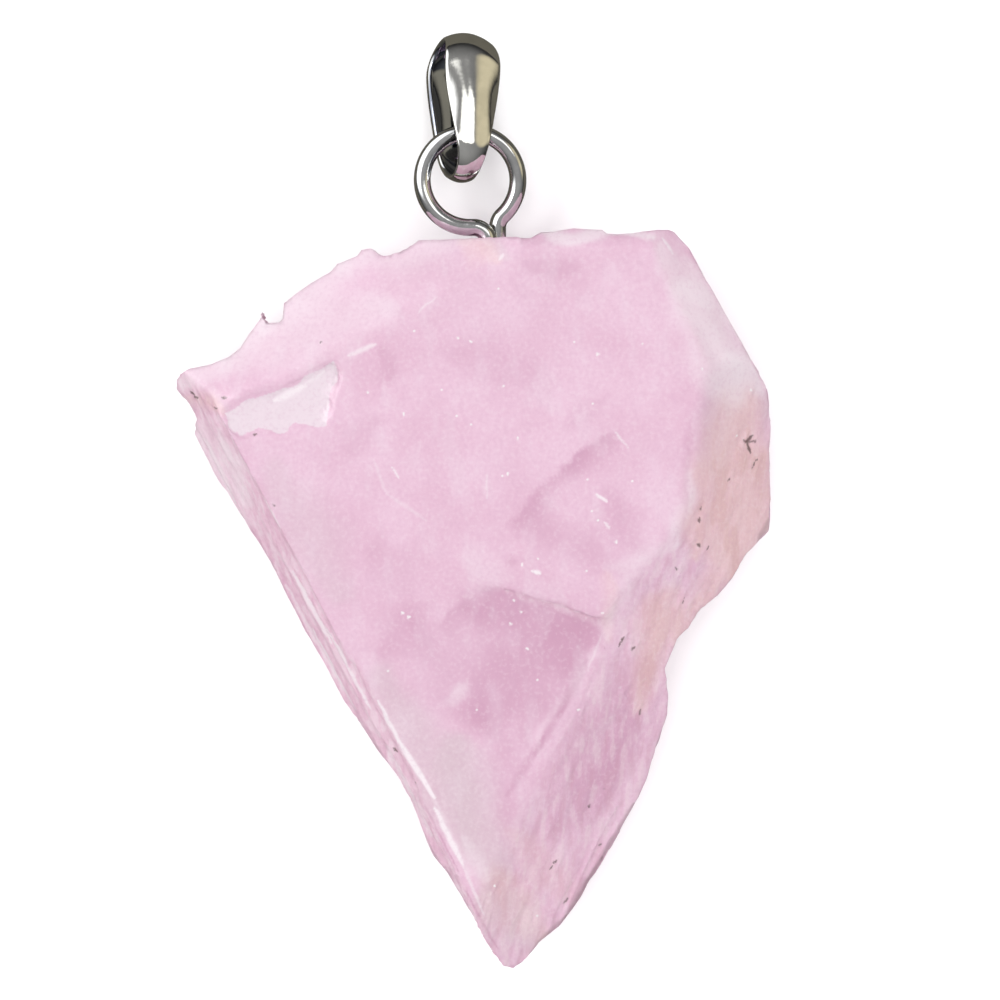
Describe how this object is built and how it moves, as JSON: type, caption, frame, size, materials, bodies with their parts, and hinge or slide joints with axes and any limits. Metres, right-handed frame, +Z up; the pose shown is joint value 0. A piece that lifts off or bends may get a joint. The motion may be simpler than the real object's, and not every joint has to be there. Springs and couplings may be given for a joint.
{
  "type": "raw kunzite crystal pendant",
  "caption": "Raw broken kunzite crystal, pale pink and translucent, drilled at its top for a wire eye that carries a swinging bail; a pendant lying on its back.",
  "frame": {"origin": "on the surface that the pendant lies on, under the middle of its length and width", "axes": "+Y from the stone's point to the bail, +Z up out of the stone's front face, +X to the right seen from the front"},
  "size_m": [0.0298, 0.047, 0.0077],
  "materials": {
    "kunzite": "raw cleaved crystal, translucent and cloudy, pale lilac pink with vitreous faces",
    "silver_wire": "drawn silver-coloured wire, polished",
    "silver": "silver-coloured sheet, mirror polished"
  },
  "bodies": {
    "stone": {"kunzite": "kunzite", "wire_eye": "silver_wire"},
    "bail": {"bail": "silver"}
  },
  "joints": [
    {"name": "bail_swing", "type": "hinge", "parent": "stone", "child": "bail", "pos_m": [-0.0006, 0.01817, 0.00307], "axis": [0.986, 0.1668, 0], "range_deg": [-115, 105]}
  ]
}
